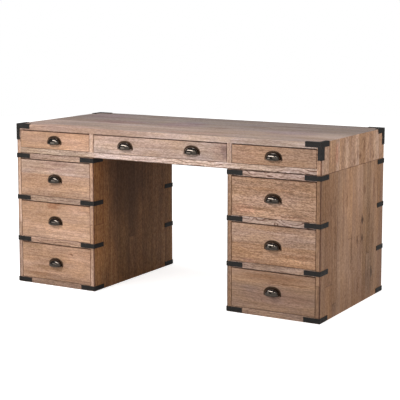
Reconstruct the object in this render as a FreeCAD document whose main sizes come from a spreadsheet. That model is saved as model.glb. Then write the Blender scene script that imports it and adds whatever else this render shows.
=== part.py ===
import FreeCAD, Part
import os
import re

import Sketcher
from FreeCAD import Rotation, Vector

# Campaign desk: a top case with three drawers on two pedestals with three drawers each.
# +X is the desk's right seen from the front, -Y is the front, +Z is up. The origin lies on the floor
# under the middle of the whole desk, cup pulls and corner straps included. Millimetres.

SIZES = {
    # Whole desk, without the metal that stands proud of the wood
    "desk_width": 1600,
    "desk_depth": 700,
    "desk_height": 770,
    "pedestal_width": 445,
    # Boards
    "top_thickness": 26,
    "side_thickness": 20,
    "partition_thickness": 22,
    "back_thickness": 12,
    "board_thickness": 18,
    "edge_radius": 1.5,
    # Frame joints
    "housing_depth": 6,
    "tenon_length": 8,
    "tenon_shoulder": 6,
    # Drawer openings, rails and runners
    "frieze_opening": 86,
    "rail_height": 26,
    "rail_depth": 60,
    "runner_width": 20,
    "runner_height": 20,
    "stop_width": 30,
    "stop_depth": 15,
    "stop_height": 6,
    "stop_inset": 60,
    # Drawers
    "drawer_back_gap": 48,
    "drawer_gap": 2,
    "drawer_foot_gap": 1,
    "drawer_top_gap": 4,
    "drawer_front_thickness": 20,
    "drawer_side_thickness": 12,
    "drawer_bottom_thickness": 6,
    "drawer_headroom": 6,
    "back_drop": 8,
    "groove_depth": 6,
    "groove_height": 9,
    "run_clearance": 0.3,
    # Dovetails
    "dovetail_lap": 13,
    "pin_width": 8,
    "dovetail_slope": 0.16,
    # Corner straps of the pedestals
    "strap_thickness": 2.5,
    "strap_height": 21,
    "strap_arm": 75,
    # Three-way corner brackets of the top case
    "bracket_arm": 75,
    "bracket_drop": 20,
    "bracket_stem": 75,
    "bracket_stem_front": 17,
    "bracket_stem_side": 26,
    "bracket_flange": 16,
    "bend_radius": 1.2,
    # Cup pulls
    "cup_width": 70,
    "cup_height": 29,
    "pull_projection": 22,
    "cup_wall": 2.4,
    "lip_rise": 4,
    "rim_width": 7,
    "rim_thickness": 2.4,
    "ear_radius": 5,
    "ear_overhang": 1.5,
    "pull_rise": 1,
    # Screws of the cup pulls
    "screw_radius": 1.6,
    "screw_length": 16,
    "screw_head_radius": 2.5,
    "screw_head_height": 1.4,
    "screw_clearance": 0.2,
    # Bolts between the top case and the pedestals
    "bolt_radius": 4,
    "bolt_length": 32,
    "bolt_head_radius": 6.5,
    "bolt_head_height": 5,
    "bolt_clearance": 0.3,
    "bolt_inset_side": 70,
    "bolt_inset_front": 110,
}

PEDESTAL_DRAWERS = 3
PEDESTAL_TAILS = 5
FRIEZE_TAILS = 3

# Planes of the desk, as expressions in the names above
FRONT = "((pull_projection - desk_depth - strap_thickness) / 2)"
REAR = f"({FRONT} + desk_depth)"
MID_DEPTH = f"({FRONT} + desk_depth / 2)"
INSIDE_BACK = f"({REAR} - back_thickness)"
BEHIND_RAIL = f"({FRONT} + rail_depth)"
LEFT = "(-desk_width / 2)"
UNDER_TOP = "(desk_height - top_thickness)"
SEAM = f"({UNDER_TOP} - frieze_opening - rail_height)"
RAIL_PITCH = f"(({SEAM} - rail_height) / {PEDESTAL_DRAWERS})"
PEDESTAL_MIDDLE = f"({LEFT} + pedestal_width / 2)"
PEDESTAL_OPENING = f"({RAIL_PITCH} - rail_height)"
BAY_LEFT = f"({LEFT} + side_thickness)"
BAY_WIDTH = "(pedestal_width - 2 * side_thickness)"
BAY_RIGHT = f"({BAY_LEFT} + {BAY_WIDTH})"
MIDDLE_LEFT = f"({BAY_RIGHT} + partition_thickness)"
BAY_DEPTH = f"({INSIDE_BACK} - {BEHIND_RAIL})"
FRIEZE_LEVEL = f"({SEAM} + rail_height)"
DRAWER_DEPTH = f"({INSIDE_BACK} - {FRONT} - drawer_back_gap)"

doc = FreeCAD.newDocument("CampaignDesk")
sheet = doc.addObject("Spreadsheet::Sheet", "Sizes")
for row, (name, value) in enumerate(SIZES.items(), start=1):
    sheet.set(f"A{row}", name)
    sheet.set(f"B{row}", str(value))
    sheet.setAlias(f"B{row}", name)
doc.recompute()


def cells(text):
    """The expression with every size name pointed at its cell in the sheet."""
    return re.sub(r"[a-z_]+", lambda word: f"Sizes.{word[0]}", text)


def bind(feature, sizes):
    """Ties properties of a feature to expressions."""
    for prop, text in sizes.items():
        feature.setExpression(prop, cells(text))


def place(feature, at):
    """Ties a feature's position to three expressions."""
    bind(feature, {f"Placement.Base.{axis}": text for axis, text in zip("xyz", at)})


def add(kind, label):
    feature = doc.addObject(kind, label)
    feature.Label = label
    return feature


def box(label, at, size):
    """Plain block with its lowest corner at the given place."""
    block = add("Part::Box", label)
    bind(block, dict(zip(("Length", "Width", "Height"), size)))
    place(block, at)
    return block


def cylinder(label, at, radius, length, direction=Vector(0, 0, 1)):
    rod = add("Part::Cylinder", label)
    bind(rod, {"Radius": radius, "Height": length})
    rod.Placement.Rotation = Rotation(Vector(0, 0, 1), direction)
    place(rod, at)
    return rod


def fuse(label, pieces):
    joined = add("Part::MultiFuse", label)
    joined.Shapes = pieces
    joined.Refine = True
    return joined


def cut(label, base, tools):
    """Base with the union of the tools taken out of it."""
    rest = add("Part::Cut", label)
    rest.Base = base
    rest.Tool = tools[0] if len(tools) == 1 else fuse(f"{label}_tools", tools)
    return rest


def mirror(label, source, normal, at=("0", "0", "0")):
    """Mirror image across the plane through a place with the given normal."""
    image = add("Part::Mirroring", label)
    image.Source = source
    image.Normal = normal
    bind(image, {f"Base.{axis}": text for axis, text in zip("xyz", at)})
    return image


def group(label, members):
    """Separate solids that share one node."""
    together = add("Part::Compound", label)
    together.Links = members
    return together


ACROSS = Vector(1, 0, 0)
ALONG = Vector(0, 1, 0)
FACES = {"left": (0, 0), "right": (0, 1), "front": (1, 0), "rear": (1, 1), "bottom": (2, 0), "top": (2, 1)}


def edge_names(shape, pairs):
    """Names of the edges of a block where each named pair of faces meets."""
    low = shape.BoundBox
    limits = ((low.XMin, low.XMax), (low.YMin, low.YMax), (low.ZMin, low.ZMax))
    names = []
    for number, edge in enumerate(shape.Edges, start=1):
        middle = edge.CenterOfMass
        for pair in pairs:
            wanted = [FACES[face] for face in pair.split()]
            if all(abs(middle[axis] - limits[axis][end]) < 0.01 for axis, end in wanted):
                names.append(f"Edge{number}")
    return names


def ease(body, base, pairs, radius="edge_radius"):
    """Rounds the named edges of the last feature of a body."""
    doc.recompute()
    rounded = body.newObject("PartDesign::Fillet", f"{body.Label}_arris")
    rounded.Base = (base, edge_names(base.Shape, pairs))
    bind(rounded, {"Radius": radius})
    body.Tip = rounded
    return rounded


def new_body(label):
    body = doc.addObject("PartDesign::Body", label)
    body.Label = label
    return body


def block_feature(body, kind, name, size, at=("0", "0", "0")):
    """Block added to or taken from a body, placed in the body's own frame."""
    feature = body.newObject(f"PartDesign::{kind}Box", f"{body.Label}_{name}")
    bind(feature, dict(zip(("Length", "Width", "Height"), size)))
    place(feature, at)
    return feature


def board(label, at, size, eased=()):
    """Board with its lowest corner at the given place and some of its arrises rounded."""
    body = new_body(label)
    blank = block_feature(body, "Additive", "blank", size)
    place(body, at)
    if eased:
        ease(body, blank, eased)
    return body


def profile_sketch(body, plane, points):
    """Closed polygon on one of the body's own planes, every corner tied to two expressions."""
    sketch = body.newObject("Sketcher::SketchObject", f"{body.Label}_outline")
    support = next(item for item in body.Origin.OriginFeatures if item.Role == plane)
    sketch.AttachmentSupport = [(support, "")]
    sketch.MapMode = "FlatFace"
    corners = [[float(sketch.evalExpression(cells(text))) for text in point] for point in points]
    for here, there in zip(corners, corners[1:] + corners[:1]):
        sketch.addGeometry(Part.LineSegment(Vector(*here), Vector(*there)))
    for line, point in enumerate(points):
        after = (line + 1) % len(points)
        sketch.addConstraint(Sketcher.Constraint("Coincident", line, 2, after, 1))
        for kind, text, value in zip(("DistanceX", "DistanceY"), point, corners[line]):
            number = sketch.addConstraint(Sketcher.Constraint(kind, -1, 1, line, 1, value))
            sketch.setExpression(f"Constraints[{number}]", cells(text))
    return sketch


def prism(label, plane, points, length, at, eased=()):
    """Profile on a plane through the body's origin, padded along the plane's normal."""
    body = new_body(label)
    outline = profile_sketch(body, plane, points)
    pad = body.newObject("PartDesign::Pad", f"{label}_pad")
    pad.Profile = outline
    bind(pad, {"Length": length})
    body.Tip = pad
    place(body, at)
    if eased:
        ease(body, pad, eased)
    return body


def rail(label, left, width, bottom):
    """Front rail with a stub tenon at each end."""
    body = new_body(label)
    block_feature(body, "Additive", "bar", (width, "rail_depth", "rail_height"))
    block_feature(
        body, "Additive", "tenons",
        (f"{width} + 2 * tenon_length", "rail_depth - 2 * tenon_shoulder",
         "rail_height - 2 * tenon_shoulder"),
        ("-tenon_length", "tenon_shoulder", "tenon_shoulder"))
    place(body, (left, FRONT, bottom))
    return body


def bolt_places():
    """Plan positions of the four bolts in the left pedestal, as expressions."""
    for x in (f"{LEFT} + bolt_inset_side", f"{LEFT} + pedestal_width - bolt_inset_side"):
        for y in (f"{FRONT} + bolt_inset_front", f"{REAR} - bolt_inset_front"):
            yield x, y


def bolt_holes(label):
    """Clearance holes for the left pedestal's bolts, from the bolt heads up."""
    return [
        cylinder(f"{label}_bolt_hole_{number}", (x, y, f"{SEAM} - board_thickness"),
                 "bolt_radius + bolt_clearance", "bolt_length + bolt_clearance")
        for number, (x, y) in enumerate(bolt_places())
    ]


def left_bolts():
    """Bolts up through the pedestal's top board into the bottom board of the top case."""
    bolts = []
    for number, (x, y) in enumerate(bolt_places()):
        seat = f"{SEAM} - board_thickness"
        shank = cylinder(f"bolt_{number}_shank", (x, y, seat), "bolt_radius", "bolt_length")
        head = cylinder(f"bolt_{number}_head", (x, y, f"{seat} - bolt_head_height"),
                        "bolt_head_radius", "bolt_head_height")
        bolts.append(fuse(f"bolt_{number}", [shank, head]))
    return group("left_bolts", bolts)


def top_case():
    """Desktop mitred to two side boards, with back, bottom, front rail, partitions and runners."""
    bay_height = f"({UNDER_TOP} - {SEAM})"
    inner_width = "(desk_width - 2 * side_thickness)"
    desktop = prism(
        "desktop", "XZ_Plane",
        [("side_thickness", "0"), ("desk_width - side_thickness", "0"),
         ("desk_width", "top_thickness"), ("0", "top_thickness")],
        "desk_depth", (LEFT, REAR, UNDER_TOP), ("front top", "rear top"))

    front_rail = rail("frieze_rail", BAY_LEFT, inner_width, SEAM)
    back = board(
        "frieze_back", (f"{BAY_LEFT} - housing_depth", INSIDE_BACK, SEAM),
        (f"{inner_width} + 2 * housing_depth", "back_thickness", bay_height))
    floor = box(
        "frieze_floor_blank", (f"{BAY_LEFT} - housing_depth", BEHIND_RAIL, SEAM),
        (f"{inner_width} + 2 * housing_depth", BAY_DEPTH, "board_thickness"))
    left_holes = group("frieze_left_holes", bolt_holes("frieze_floor"))
    right_holes = mirror("frieze_right_holes", left_holes, ACROSS)
    floor = cut("frieze_bottom_board", floor, [left_holes, right_holes])

    side_blank = prism(
        "frieze_side_blank", "XZ_Plane",
        [("0", "0"), ("side_thickness", "0"), ("side_thickness", bay_height),
         ("0", f"{bay_height} + top_thickness")],
        "desk_depth", (LEFT, REAR, SEAM), ("left front", "left rear", "left bottom"))
    left_side = cut("frieze_left_side", side_blank, [front_rail, floor, back])
    right_side = mirror("frieze_right_side", left_side, ACROSS)

    step = "(rail_height - board_thickness)"
    deep = f"({INSIDE_BACK} - {FRONT})"
    tall = f"({bay_height} - board_thickness)"
    left_partition = prism(
        "frieze_left_partition", "YZ_Plane",
        [("0", step), ("rail_depth", step), ("rail_depth", "0"), (deep, "0"), (deep, tall), ("0", tall)],
        "partition_thickness", (BAY_RIGHT, FRONT, f"{SEAM} + board_thickness"))
    right_partition = mirror("frieze_right_partition", left_partition, ACROSS)

    strip = ("runner_width", BAY_DEPTH, step)
    level = f"{SEAM} + board_thickness"
    strips = [
        box(f"frieze_strip_{number}", (x, BEHIND_RAIL, level), strip)
        for number, x in enumerate((BAY_LEFT, f"{BAY_RIGHT} - runner_width", MIDDLE_LEFT))
    ]
    left_strips = group("frieze_left_strips", strips)
    runners = group("frieze_runners", [left_strips, mirror("frieze_right_strips", left_strips, ACROSS)])
    sides = [left_side, right_side, left_partition, right_partition]
    return [desktop, front_rail, back, floor, runners] + sides


def rail_level(level):
    return f"({level} * {RAIL_PITCH})"


def left_pedestal():
    """Case of the left pedestal: two sides, back, top and bottom boards, four rails and the runners."""
    levels = range(PEDESTAL_DRAWERS + 1)
    rails = [rail(f"pedestal_rail_{level}", BAY_LEFT, BAY_WIDTH, rail_level(level)) for level in levels]
    housed = (f"{BAY_WIDTH} + 2 * housing_depth", BAY_DEPTH, "board_thickness")
    floor = box("left_pedestal_bottom_board", (f"{BAY_LEFT} - housing_depth", BEHIND_RAIL, "0"), housed)
    lid_blank = box(
        "pedestal_top_blank",
        (f"{BAY_LEFT} - housing_depth", BEHIND_RAIL, f"{SEAM} - board_thickness"), housed)
    lid = cut("left_pedestal_top_board", lid_blank, bolt_holes("pedestal_top"))
    back = board(
        "left_pedestal_back", (f"{BAY_LEFT} - housing_depth", INSIDE_BACK, "0"),
        (f"{BAY_WIDTH} + 2 * housing_depth", "back_thickness", SEAM))

    joints = rails + [floor, lid, back]
    upright = ("side_thickness", "desk_depth", SEAM)
    outer_blank = board(
        "outer_side_blank", (LEFT, FRONT, "0"), upright, ("left front", "left rear", "left top"))
    inner_blank = board(
        "inner_side_blank", (BAY_RIGHT, FRONT, "0"), upright, ("right front", "right rear", "right top"))
    outer = cut("left_pedestal_outer_side", outer_blank, joints)
    inner = cut("left_pedestal_inner_side", inner_blank, joints)

    strips = []
    for level in levels:
        lowest = level == 0
        highest = level == PEDESTAL_DRAWERS
        tall = "rail_height - board_thickness" if lowest or highest else "runner_height"
        under = rail_level(level) if highest else f"{rail_level(level)} + rail_height - ({tall})"
        size = ("runner_width", BAY_DEPTH, tall)
        strips.append(box(f"runner_{level}", (BAY_LEFT, BEHIND_RAIL, under), size))
    left_strips = group("left_runners", strips)
    right_strips = mirror("right_runners", left_strips, ACROSS, (PEDESTAL_MIDDLE, "0", "0"))
    runners = group("left_pedestal_runners", [left_strips, right_strips])
    return [outer, inner, back, lid, floor, group("left_pedestal_rails", rails), runners]


def corner_strap(label, level):
    """Angle of flat steel bent round the left front corner, at the height of a rail."""
    reach = "(strap_arm + strap_thickness)"
    body = prism(
        label, "XY_Plane",
        [("0", "0"), (reach, "0"), (reach, "strap_thickness"), ("strap_thickness", "strap_thickness"),
         ("strap_thickness", reach), ("0", reach)],
        "strap_height",
        (f"{LEFT} - strap_thickness", f"{FRONT} - strap_thickness",
         f"{rail_level(level)} + (rail_height - strap_height) / 2"),
        ("left front",))
    bind(body.Tip, {"Radius": "bend_radius"})
    return body


def left_straps():
    """Sixteen straps of the left pedestal: four rail heights at its four corners."""
    levels = range(PEDESTAL_DRAWERS + 1)
    outer_front = group("outer_front_straps", [corner_strap(f"strap_{level}", level) for level in levels])
    inner_front = mirror("inner_front_straps", outer_front, ACROSS, (PEDESTAL_MIDDLE, "0", "0"))
    front = group("front_straps", [outer_front, inner_front])
    rear = mirror("rear_straps", front, ALONG, ("0", MID_DEPTH, "0"))
    return group("left_pedestal_straps", [front, rear])


def corner_bracket(label):
    """Three-way bracket on the left front corner of the top case: a bent cap, its faces cut to arms."""
    body = new_body(label)
    metal = "strap_thickness"
    reach = f"(bracket_arm + {metal})"
    tall = f"(bracket_stem + {metal})"
    block_feature(body, "Additive", "cap", (reach, reach, tall))
    block_feature(body, "Subtractive", "corner", (reach, reach, tall), (metal, metal, f"-{metal}"))
    under_arm = "bracket_stem - bracket_drop"
    block_feature(
        body, "Subtractive", "front_cut", (reach, f"2 * {metal}", under_arm),
        (f"{metal} + bracket_stem_front", f"-{metal} / 2", "0"))
    block_feature(
        body, "Subtractive", "side_cut", (f"2 * {metal}", reach, under_arm),
        (f"-{metal} / 2", f"{metal} + bracket_stem_side", "0"))
    top = block_feature(
        body, "Subtractive", "top_cut", (reach, reach, f"2 * {metal}"),
        (f"{metal} + bracket_flange", f"{metal} + bracket_flange", f"{tall} - 1.5 * {metal}"))
    place(body, (f"{LEFT} - {metal}", f"{FRONT} - {metal}", "desk_height - bracket_stem"))
    ease(body, top, ("left front", "left top", "front top"), "bend_radius")
    return body


def cup_pull():
    """Cup pull round the origin, its back on the plane Y = 0 and the ends of its lip at Z = 0.

    A hollow half ellipsoid, whose lip rises to the front, stands on a flat rim with a screw ear at each end.
    Returns the cup, its two screws and the holes that the screws need in the drawer front.
    """
    def dome(name, less):
        half = add("Part::Ellipsoid", f"cup_{name}")
        bind(half, {"Radius1": f"cup_height - {less}", "Radius2": f"cup_width / 2 - {less}",
                    "Radius3": f"pull_projection - {less}"})
        half.Angle3 = 180
        half.Placement.Rotation = Rotation(Vector(0, 0, 1), 180)
        return half

    below_lip = prism(
        "below_lip", "YZ_Plane",
        [("0", "0"), ("-2 * pull_projection", "2 * lip_rise"),
         ("-2 * pull_projection", "-2 * cup_height"), ("0", "-2 * cup_height")],
        "2 * cup_width", ("-cup_width", "0", "0"))
    hood = cut("cup_hood", dome("outside", "0"), [below_lip])

    outline = add("Part::Ellipse", "rim_outline")
    bind(outline, {"MajorRadius": "cup_width / 2 + rim_width", "MinorRadius": "cup_height + rim_width"})
    outline.Placement.Rotation = Rotation(Vector(1, 0, 0), 90)
    plate = add("Part::Extrusion", "rim_plate")
    plate.Base = outline
    plate.DirMode = "Custom"
    plate.Dir = Vector(0, -1, 0)
    plate.Solid = True
    bind(plate, {"LengthFwd": "rim_thickness"})
    lower = box(
        "rim_lower_half", ("-cup_width", "-2 * rim_thickness", "-2 * cup_height"),
        ("2 * cup_width", "4 * rim_thickness", "2 * cup_height"))
    rim = cut("cup_rim", plate, [lower])

    forward = Vector(0, -1, 0)
    ears = []
    holes = []
    screws = []
    for name, side in (("left", "-"), ("right", "")):
        ear_x = f"{side}(cup_width / 2 + rim_width - ear_radius + ear_overhang)"
        seat = (ear_x, "-rim_thickness", "0")
        ears.append(cylinder(f"{name}_ear", (ear_x, "0", "0"), "ear_radius", "rim_thickness", forward))
        holes.append(cylinder(
            f"{name}_screw_hole", (ear_x, "screw_length", "0"),
            "screw_radius + screw_clearance", "2 * screw_length", forward))
        shank = cylinder(f"{name}_screw_shank", seat, "screw_radius", "screw_length", -forward)
        head = cylinder(f"{name}_screw_head", seat, "screw_head_radius", "screw_head_height", forward)
        screws.append(fuse(f"{name}_screw", [shank, head]))
    solid = fuse("cup_solid", [hood, rim] + ears)
    cup = cut("cup", solid, [dome("inside", "cup_wall")] + holes)
    return cup, screws, holes


def dovetail(label, at, pitch, reach, rearward):
    """Tail that widens away from the drawer side, centred on the given height."""
    wide = f"(({pitch} - pin_width) / 2)"
    narrow = f"({wide} - dovetail_slope * {reach})"
    low_half, high_half = (narrow, wide) if rearward else (wide, narrow)
    tail = add("Part::Wedge", label)
    bind(tail, {
        "Xmin": "0", "Xmax": "drawer_side_thickness", "X2min": "0", "X2max": "drawer_side_thickness",
        "Ymin": "0" if rearward else f"-{reach}", "Ymax": reach if rearward else "0",
        "Zmin": f"-{low_half}", "Zmax": low_half, "Z2min": f"-{high_half}", "Z2max": high_half,
    })
    place(tail, at)
    return tail


def drawer(name, left, width, bottom, height, tails, pull_places):
    """Drawer in an opening: half-blind dovetails in front, through ones behind, a grooved-in bottom."""
    outer = f"({left} + drawer_gap)"
    across = f"({width} - 2 * drawer_gap)"
    foot = f"({bottom} + run_clearance)"
    tall = f"({height} - run_clearance - drawer_headroom)"
    front_inside = f"({FRONT} + drawer_front_thickness)"
    back_inside = f"({FRONT} + {DRAWER_DEPTH} - drawer_side_thickness)"
    panel_level = f"({foot} + groove_height)"

    panel = box(
        f"{name}_panel",
        (f"{outer} + drawer_side_thickness - groove_depth", f"{front_inside} - groove_depth", panel_level),
        (f"{across} - 2 * (drawer_side_thickness - groove_depth)",
         f"{DRAWER_DEPTH} - drawer_front_thickness + groove_depth", "drawer_bottom_thickness"))

    plank = box(
        f"{name}_plank", (outer, front_inside, foot),
        ("drawer_side_thickness", f"{back_inside} - {front_inside}", tall))
    pitch = f"({tall} / {tails})"
    pieces = [plank]
    for number in range(tails):
        middle = f"{foot} + {number + 0.5} * {pitch}"
        pieces.append(dovetail(
            f"{name}_front_tail_{number}", (outer, front_inside, middle), pitch, "dovetail_lap", False))
        pieces.append(dovetail(
            f"{name}_rear_tail_{number}", (outer, back_inside, middle), pitch, "drawer_side_thickness", True))
    left_side = cut(f"{name}_left_side", fuse(f"{name}_tailed_plank", pieces), [panel])
    right_side = mirror(f"{name}_right_side", left_side, ACROSS, (f"{left} + {width} / 2", "0", "0"))

    back_blank = box(
        f"{name}_back_blank", (outer, back_inside, f"{panel_level} + drawer_bottom_thickness"),
        (across, "drawer_side_thickness", f"{tall} - groove_height - drawer_bottom_thickness - back_drop"))
    back = cut(f"{name}_back", back_blank, [left_side, right_side])

    pulls = []
    holes = []
    lip = f"({bottom} + ({height} - cup_height) / 2 + pull_rise)"
    for number, x in enumerate(pull_places):
        pulls.append(group(f"{name}_cup_{number}", [CUP] + CUP_SCREWS))
        holes.append(group(f"{name}_screw_holes_{number}", SCREW_HOLES))
        for fitting in (pulls[-1], holes[-1]):
            place(fitting, (x, FRONT, lip))
    front_blank = board(
        f"{name}_front_blank", (outer, FRONT, f"{bottom} + drawer_foot_gap"),
        (across, "drawer_front_thickness", f"{height} - drawer_foot_gap - drawer_top_gap"),
        ("left front", "right front", "front bottom", "front top"))
    front = cut(f"{name}_front", front_blank, [left_side, right_side, panel] + holes)
    walls = group(f"{name}_box", [left_side, right_side, back, panel])
    return [front, walls, group(f"{name}_pull", pulls)]


def drawer_stops(label, left, width, bottom):
    """Two blocks on the rail that the closed drawer front rests against."""
    size = ("stop_width", "stop_depth", "stop_height")
    behind = f"{FRONT} + drawer_front_thickness + run_clearance"
    places = (f"{left} + stop_inset", f"{left} + {width} - stop_inset - stop_width")
    return [box(f"{label}_stop_{number}", (x, behind, bottom), size) for number, x in enumerate(places)]


def left_drawers():
    """Drawers over and in the left pedestal, with the stops of each."""
    openings = [("frieze_left_drawer", FRIEZE_LEVEL, "frieze_opening", FRIEZE_TAILS)]
    for level, name in enumerate(("left_bottom_drawer", "left_middle_drawer", "left_top_drawer")):
        openings.append((name, f"({rail_level(level)} + rail_height)", PEDESTAL_OPENING, PEDESTAL_TAILS))
    pieces = []
    stops = []
    for name, bottom, height, tails in openings:
        pieces += drawer(name, BAY_LEFT, BAY_WIDTH, bottom, height, tails, [PEDESTAL_MIDDLE])
        stops += drawer_stops(name, BAY_LEFT, BAY_WIDTH, bottom)
    return pieces, group("left_stops", stops)


def middle_drawer():
    """Wide drawer over the kneehole with a pull on each quarter, and its stops."""
    name = "frieze_middle_drawer"
    wide = f"(-2 * {MIDDLE_LEFT})"
    quarters = [f"({MIDDLE_LEFT} / 2)", f"(-{MIDDLE_LEFT} / 2)"]
    pieces = drawer(name, MIDDLE_LEFT, wide, FRIEZE_LEVEL, "frieze_opening", FRIEZE_TAILS, quarters)
    return pieces, drawer_stops(name, MIDDLE_LEFT, wide, FRIEZE_LEVEL)


def on_the_right(piece):
    """Right-hand counterpart of a piece of the left half."""
    return mirror(piece.Label.replace("left", "right"), piece, ACROSS)


CUP, CUP_SCREWS, SCREW_HOLES = cup_pull()

nodes = top_case()
pedestal = left_pedestal() + [left_straps()]
nodes += pedestal + [on_the_right(piece) for piece in pedestal]

front_bracket = corner_bracket("front_left_bracket")
rear_bracket = mirror("rear_left_bracket", front_bracket, ALONG, ("0", MID_DEPTH, "0"))
nodes += [front_bracket, rear_bracket, on_the_right(front_bracket), on_the_right(rear_bracket)]

bolts = left_bolts()
nodes.append(group("connecting_bolts", [bolts, on_the_right(bolts)]))

side_drawers, left_stops = left_drawers()
nodes += side_drawers + [on_the_right(piece) for piece in side_drawers]
wide_drawer, middle_stops = middle_drawer()
nodes += wide_drawer
nodes.append(group("drawer_stops", [left_stops, on_the_right(left_stops)] + middle_stops))

doc.recompute()
failed = [item.Label for item in doc.Objects if "Invalid" in item.State or "Error" in item.State]
failed += [node.Label for node in nodes if node.Shape.isNull() or not node.Shape.isValid()]
if failed:
    raise RuntimeError(f"these objects failed: {failed}")

os.makedirs("parts", exist_ok=True)
for node in nodes:
    node.Shape.exportStep(f"parts/{node.Label}.step")
    print(f"{node.Label}: {len(node.Shape.Solids)} solids, {node.Shape.Volume / 1000:.1f} cm3")
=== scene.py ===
import functools
import math

import bmesh
import bpy
import numpy as np
from bpy.props import FloatProperty, FloatVectorProperty, PointerProperty
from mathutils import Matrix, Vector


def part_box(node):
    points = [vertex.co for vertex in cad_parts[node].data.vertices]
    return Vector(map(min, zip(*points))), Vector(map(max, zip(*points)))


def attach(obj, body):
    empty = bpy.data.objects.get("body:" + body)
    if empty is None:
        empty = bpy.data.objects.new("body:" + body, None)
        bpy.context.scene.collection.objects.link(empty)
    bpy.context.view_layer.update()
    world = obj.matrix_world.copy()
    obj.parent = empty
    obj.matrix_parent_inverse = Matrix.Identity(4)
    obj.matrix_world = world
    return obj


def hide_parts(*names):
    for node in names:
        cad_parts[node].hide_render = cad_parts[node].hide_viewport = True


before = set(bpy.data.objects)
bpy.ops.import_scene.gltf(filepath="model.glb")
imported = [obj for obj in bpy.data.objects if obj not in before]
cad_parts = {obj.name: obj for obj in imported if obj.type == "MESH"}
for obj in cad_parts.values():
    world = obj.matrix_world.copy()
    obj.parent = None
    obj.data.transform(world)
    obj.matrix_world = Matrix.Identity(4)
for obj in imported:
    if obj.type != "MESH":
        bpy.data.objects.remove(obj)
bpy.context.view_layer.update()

bl_info = {
    "name": "Campaign desk finish",
    "version": (1, 0, 0),
    "blender": (4, 5, 0),
    "location": "View3D > Sidebar > Desk",
    "description": "Weathered oak, blackened straps, bronze cup pulls and a white studio for the campaign desk",
    "category": "Material",
}

SIDES = ("left", "right")
DRAWERS = (
    "frieze_left", "frieze_middle", "frieze_right",
    "left_top", "left_middle", "left_bottom", "right_top", "right_middle", "right_bottom",
)

# Grain directions of a piece: along, across and through the grain.
LEVEL = ("X", "Z", "Y")
LYING = ("X", "Y", "Z")
UPRIGHT = ("Z", "Y", "X")
UPRIGHT_BACK = ("Z", "X", "Y")
DEEP = ("Y", "Z", "X")

# Boards of the drawer fronts: seed and strength of the grain, height of the glue joint as a share of the
# front, and for the upper and the lower board its warmth (0 grey, 1 tan) and its brightness.
FRONT_BOARDS = {
    "frieze_left": (3.0, 0.28, 0.55, (0.66, 0.93), (0.66, 0.93)),
    "frieze_middle": (5.0, 0.36, 0.50, (0.31, 0.94), (0.17, 0.96)),
    "frieze_right": (8.0, 0.42, 0.60, (0.75, 0.76), (0.75, 0.76)),
    "left_top": (11.0, 0.33, 0.62, (0.30, 0.93), (0.71, 0.89)),
    "left_middle": (14.0, 0.30, 0.42, (0.76, 0.84), (0.70, 0.99)),
    "left_bottom": (17.0, 0.32, 0.50, (0.79, 0.80), (0.71, 0.93)),
    "right_top": (21.0, 0.56, 0.55, (0.84, 0.69), (0.70, 0.86)),
    "right_middle": (25.0, 0.45, 0.50, (0.63, 0.77), (0.92, 0.75)),
    "right_bottom": (29.0, 0.26, 0.68, (0.83, 0.66), (0.75, 0.56)),
}

# Two tones of the other oak pieces, again warmth and brightness.
OTHER_TONES = {
    # The desktop's tones are greyer than the rest of the oak, a painted sheen, and the rear one is darker, painted
    # shade.
    "desktop_front_and_rear": ((0.06, 0.98), (-0.21, 0.62)),
    "frieze_rail_ends_and_middle": ((0.22, 0.89), (-0.02, 1.19)),
    "left_rails_low_and_high": ((0.52, 0.73), (0.37, 0.76)),
    "right_rails_low_and_high": ((0.46, 0.67), (0.11, 0.89)),
    "outer_sides_staves": ((1.07, 0.66), (0.79, 0.85)),
    "frieze_sides_staves": ((0.97, 0.89), (0.53, 1.06)),
    # The inner sides are much darker than the other oak: painted shade for the kneehole.
    "inner_sides_staves": ((1.47, 0.34), (1.34, 0.48)),
    "partitions": ((0.30, 1.00), (0.30, 1.00)),
    "backs_staves": ((1.00, 0.85), (0.80, 0.95)),
}

# Tones of the front edges, which show as narrow stiles beside the drawers and as the desktop's edge.
EDGE_TONES = {
    "desktop": (0.10, 1.01),
    "desktop_rear": (0.60, 0.95),
    "frieze_left_side": (0.45, 0.95),
    "frieze_right_side": (0.80, 0.90),
    "left_pedestal_outer_side": (0.45, 0.92),
    "left_pedestal_inner_side": (0.60, 0.88),
    "right_pedestal_inner_side": (0.82, 0.55),
    "right_pedestal_outer_side": (0.93, 0.56),
}

# Dyes of the desktop's front edge: where along it they begin, where they are full, and their colour.
EDGE_DYES = (
    (0.30, -0.60, (0.78, 0.71, 0.66)),
    (0.15, 0.55, (0.84, 0.865, 0.88)),
)

# Colour of the painted shadow in the seam between the top case and the pedestals, whose faces are flush.
SEAM_SHADOW = (0.20, 0.15, 0.13)

# Grain of the rails, whose rings are bolder than those of the other boards.
RAIL_GRAIN = {
    "frieze_rail": {"seed": 52.0, "wander": 6.0, "waves": (4.5, 6.0, 9.0), "ring_spacing": 0.016},
    "left_pedestal_rails": {"seed": 56.3, "wander": 4.0, "waves": (6.0, 10.0, 9.0), "ring_spacing": 0.013},
    "right_pedestal_rails": {"seed": 60.6, "wander": 6.0, "waves": (10.0, 16.0, 9.0), "ring_spacing": 0.018},
}

# Ring lines of the highest rail and darkness of the painted shadow in the seam above it.
RAIL_LINES = {"left": (1.3, 0.5), "right": (1.6, 1.0)}

# Noises of the grain: waves per metre along and across it, detail, roughness, and the values spread to 0 and 1.
GRAIN_NOISES = {
    "Tone": (1.3, 10.0, 2.0, 0.55, 0.30, 0.70),
    "Drift": (6.0, 22.0, 2.0, 0.55, 0.32, 0.68),
    "Streak": (4.0, 70.0, 3.0, 0.60, 0.32, 0.68),
    "Checks": (4.5, 140.0, 2.0, 0.55, 0.60, 0.70),
    "Pores": (22.0, 900.0, 2.0, 0.55, 0.55, 0.70),
}

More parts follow.
